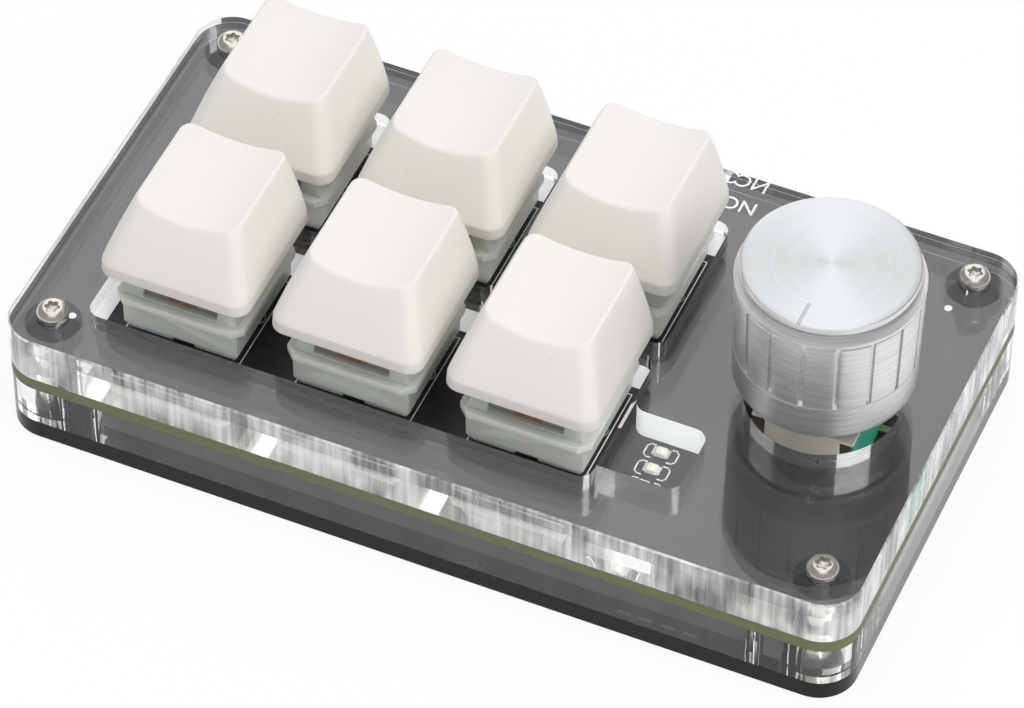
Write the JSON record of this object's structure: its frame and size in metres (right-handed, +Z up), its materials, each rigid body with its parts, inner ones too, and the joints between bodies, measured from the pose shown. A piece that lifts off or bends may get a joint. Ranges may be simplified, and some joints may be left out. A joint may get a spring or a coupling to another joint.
{
  "type": "macro keypad",
  "caption": "Small desktop keypad with blank sculpted keys and a turning, pressing knob in a stack of clear plates over a black base.",
  "frame": {"origin": "centre of the case outline on the surface that it stands on", "axes": "+X along the long side towards the knob, +Y away from the user towards the port, +Z up"},
  "size_m": [0.101, 0.0568, 0.0367],
  "materials": {
    "clear_acrylic": "clear cast acrylic, polished",
    "black_acrylic": "black acrylic",
    "board": "black solder mask over glass laminate",
    "screw_steel": "nickel-plated",
    "standoff_metal": "nickel-plated brass",
    "keycap_white": "satin",
    "switch_milky": "translucent moulded",
    "stem_brown": "moulded",
    "spring_steel": "gold-washed steel wire",
    "contact_metal": "copper alloy",
    "knob_aluminium": "turned and spun",
    "insert_plastic": "moulded",
    "encoder_metal": "tinned sheet",
    "encoder_green": "moulded",
    "wheel_plastic": "moulded",
    "port_metal": "drawn shell",
    "black_plastic": "moulded",
    "crystal_metal": "tinned can",
    "lamp_body": "clear resin over white",
    "chip_ceramic": "chip parts"
  },
  "bodies": {
    "case": {"bottom_plate": "black_acrylic", "bottom_screws": "screw_steel", "circuit_board": "board", "crystal": "crystal_metal", "encoder_base": "encoder_green", "encoder_bushing": "encoder_metal", "encoder_cage": "encoder_metal", "encoder_dome": "contact_metal", "encoder_pins": "contact_metal", "lower_spacer": "clear_acrylic", "microcontroller": "black_plastic", "power_switch_body": "black_plastic", "power_switch_pins": "contact_metal", "small_parts": "chip_ceramic", "standoffs": "standoff_metal", "status_leds": "lamp_body", "switch_base_1": "switch_milky", "switch_base_2": "switch_milky", "switch_base_3": "switch_milky", "switch_base_4": "switch_milky", "switch_base_5": "switch_milky", "switch_base_6": "switch_milky", "switch_contacts": "contact_metal", "switch_spring_1": "spring_steel", "switch_spring_2": "spring_steel", "switch_spring_3": "spring_steel", "switch_spring_4": "spring_steel", "switch_spring_5": "spring_steel", "switch_spring_6": "spring_steel", "switch_top_1": "switch_milky", "switch_top_2": "switch_milky", "switch_top_3": "switch_milky", "switch_top_4": "switch_milky", "switch_top_5": "switch_milky", "switch_top_6": "switch_milky", "top_plate": "clear_acrylic", "top_screws": "screw_steel", "upper_spacer": "clear_acrylic", "usb_shell": "port_metal", "usb_tongue": "black_plastic"},
    "key_1": {"keycap_1": "keycap_white", "switch_stem_1": "stem_brown"},
    "key_2": {"keycap_2": "keycap_white", "switch_stem_2": "stem_brown"},
    "key_3": {"keycap_3": "keycap_white", "switch_stem_3": "stem_brown"},
    "key_4": {"keycap_4": "keycap_white", "switch_stem_4": "stem_brown"},
    "key_5": {"keycap_5": "keycap_white", "switch_stem_5": "stem_brown"},
    "key_6": {"keycap_6": "keycap_white", "switch_stem_6": "stem_brown"},
    "encoder_wheel": {"encoder_rotor": "wheel_plastic"},
    "knob_body": {"knob": "knob_aluminium", "knob_insert": "insert_plastic", "encoder_shaft": "encoder_metal"},
    "power_lever": {"power_switch_lever": "black_plastic"}
  },
  "joints": [
    {"name": "key_1_press", "type": "slide", "parent": "case", "child": "key_1", "axis": [0, 0, -1], "range_m": [0, 0.004], "stiffness_N_per_m": 55, "springref_m": -0.0075, "deforming": ["switch_spring_1"]},
    {"name": "key_2_press", "type": "slide", "parent": "case", "child": "key_2", "axis": [0, 0, -1], "range_m": [0, 0.004], "stiffness_N_per_m": 55, "springref_m": -0.0075, "deforming": ["switch_spring_2"]},
    {"name": "key_3_press", "type": "slide", "parent": "case", "child": "key_3", "axis": [0, 0, -1], "range_m": [0, 0.004], "stiffness_N_per_m": 55, "springref_m": -0.0075, "deforming": ["switch_spring_3"]},
    {"name": "key_4_press", "type": "slide", "parent": "case", "child": "key_4", "axis": [0, 0, -1], "range_m": [0, 0.004], "stiffness_N_per_m": 55, "springref_m": -0.0075, "deforming": ["switch_spring_4"]},
    {"name": "key_5_press", "type": "slide", "parent": "case", "child": "key_5", "axis": [0, 0, -1], "range_m": [0, 0.004], "stiffness_N_per_m": 55, "springref_m": -0.0075, "deforming": ["switch_spring_5"]},
    {"name": "key_6_press", "type": "slide", "parent": "case", "child": "key_6", "axis": [0, 0, -1], "range_m": [0, 0.004], "stiffness_N_per_m": 55, "springref_m": -0.0075, "deforming": ["switch_spring_6"]},
    {"name": "knob_turn", "type": "hinge", "parent": "case", "child": "encoder_wheel", "pos_m": [0.0365, 0.0002, 0.0125], "axis": [0, 0, 1], "continuous": true},
    {"name": "knob_push", "type": "slide", "parent": "encoder_wheel", "child": "knob_body", "axis": [0, 0, -1], "range_m": [0, 0.0005], "stiffness_N_per_m": 1500, "springref_m": -0.001},
    {"name": "power_slide", "type": "slide", "parent": "case", "child": "power_lever", "axis": [-1, 0, 0], "range_m": [0, 0.002]}
  ]
}
